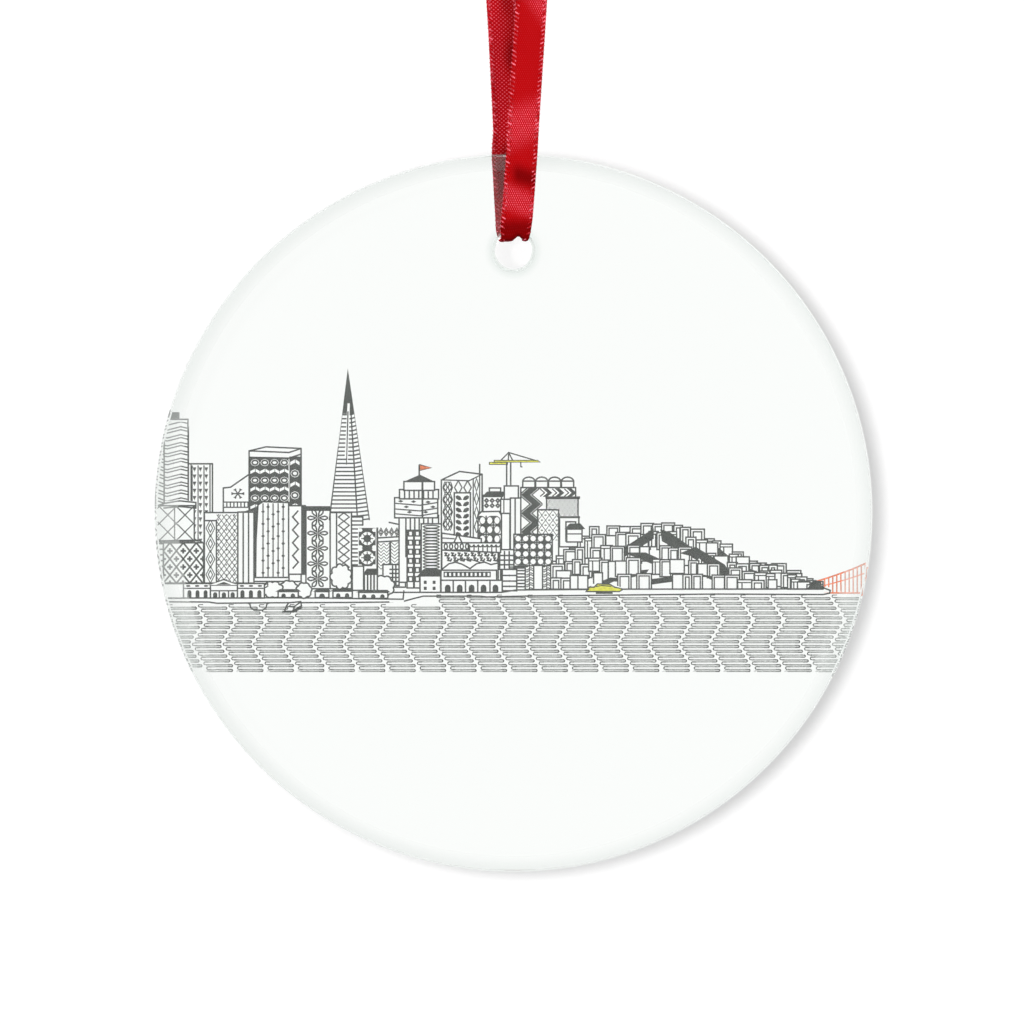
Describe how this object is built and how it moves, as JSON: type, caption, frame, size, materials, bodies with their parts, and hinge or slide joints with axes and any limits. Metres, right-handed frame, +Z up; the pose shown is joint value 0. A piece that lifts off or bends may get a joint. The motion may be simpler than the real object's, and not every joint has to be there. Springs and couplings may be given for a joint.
{
  "type": "christmas ornament",
  "caption": "Round clear bevelled glass disc with a line-printed waterfront skyline, hung by a knotted loop of narrow red satin ribbon through its hole.",
  "frame": {"origin": "hang point: the underside of the ribbon loop, below its knot", "axes": "+Z up along the ribbon, +Y from the bevelled front face to the printed back, +X to the right seen from the front"},
  "size_m": [0.0888, 0.0056, 0.1523],
  "materials": {
    "glass": "clear polished glass, faint green edge",
    "print": "dark grey, yellow and red line print on clear film",
    "ribbon": "red satin weave with looped edges"
  },
  "bodies": {
    "hang_loop": {"ribbon_knot": "ribbon", "ribbon_tail_right": "ribbon", "ribbon_tail_left": "ribbon", "loop_arm_right": "ribbon", "loop_arm_left": "ribbon"},
    "ribbon_middle": {"middle_run_front": "ribbon", "middle_run_back": "ribbon"},
    "ribbon_lower": {"lower_run_front": "ribbon", "lower_run_back": "ribbon", "ribbon_bight": "ribbon"},
    "disc": {"glass_disc": "glass", "artwork_film": "print"}
  },
  "joints": [
    {"name": "ribbon_twist", "type": "hinge", "parent": "hang_loop", "child": "ribbon_middle", "pos_m": [0, 0, -0.024], "axis": [0, 0, 1], "range_deg": [-180, 180]},
    {"name": "ribbon_tilt", "type": "hinge", "parent": "ribbon_middle", "child": "ribbon_lower", "pos_m": [0, 0, -0.043], "axis": [1, 0, 0], "range_deg": [-30, 30]},
    {"name": "disc_swing", "type": "hinge", "parent": "ribbon_lower", "child": "disc", "pos_m": [0, 0, -0.062], "axis": [0, 1, 0], "range_deg": [-45, 45]}
  ]
}
